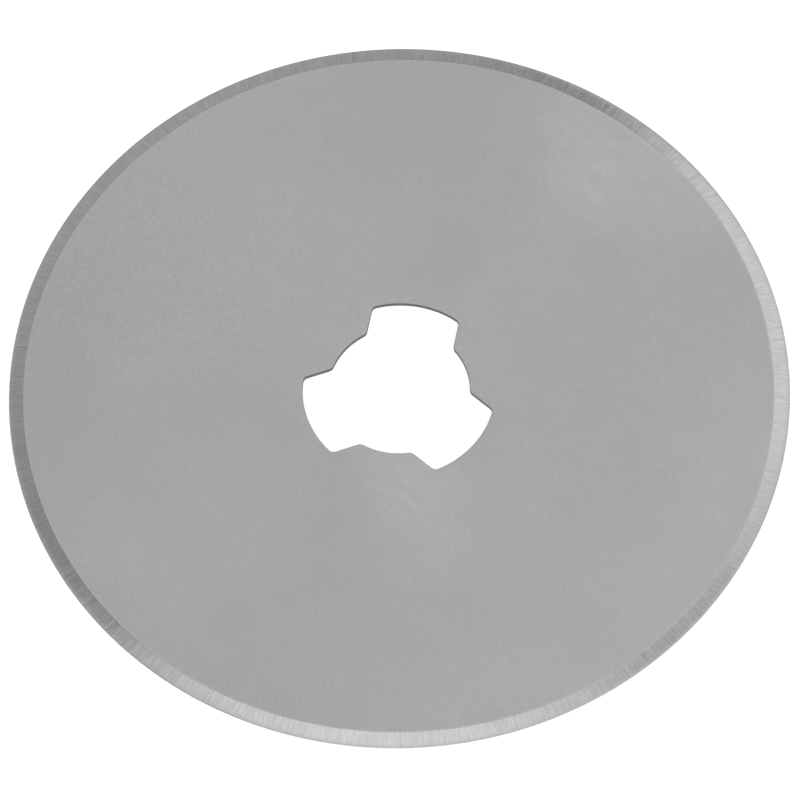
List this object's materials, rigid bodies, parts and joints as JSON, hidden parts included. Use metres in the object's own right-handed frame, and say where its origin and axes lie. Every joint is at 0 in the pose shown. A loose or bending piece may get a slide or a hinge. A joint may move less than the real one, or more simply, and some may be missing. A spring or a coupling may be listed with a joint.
{
  "type": "rotary cutter blade",
  "caption": "Thin round steel blade for a rotary cutter, ground to a sharp edge all round on both faces, with a lobed hub hole in its middle.",
  "frame": {"origin": "centre of the hub hole on the underside, which is the bottom centre of the blade's box", "axes": "+Z along the axis that the blade rolls about, from the underside to the top; +Y along the middle of one lobe of the hub hole"},
  "size_m": [0.045, 0.045, 0.0003],
  "materials": {
    "blade_steel": "satin faces with a radially ground rim"
  },
  "bodies": {
    "root": {"rotary_blade": "blade_steel"}
  },
  "joints": []
}
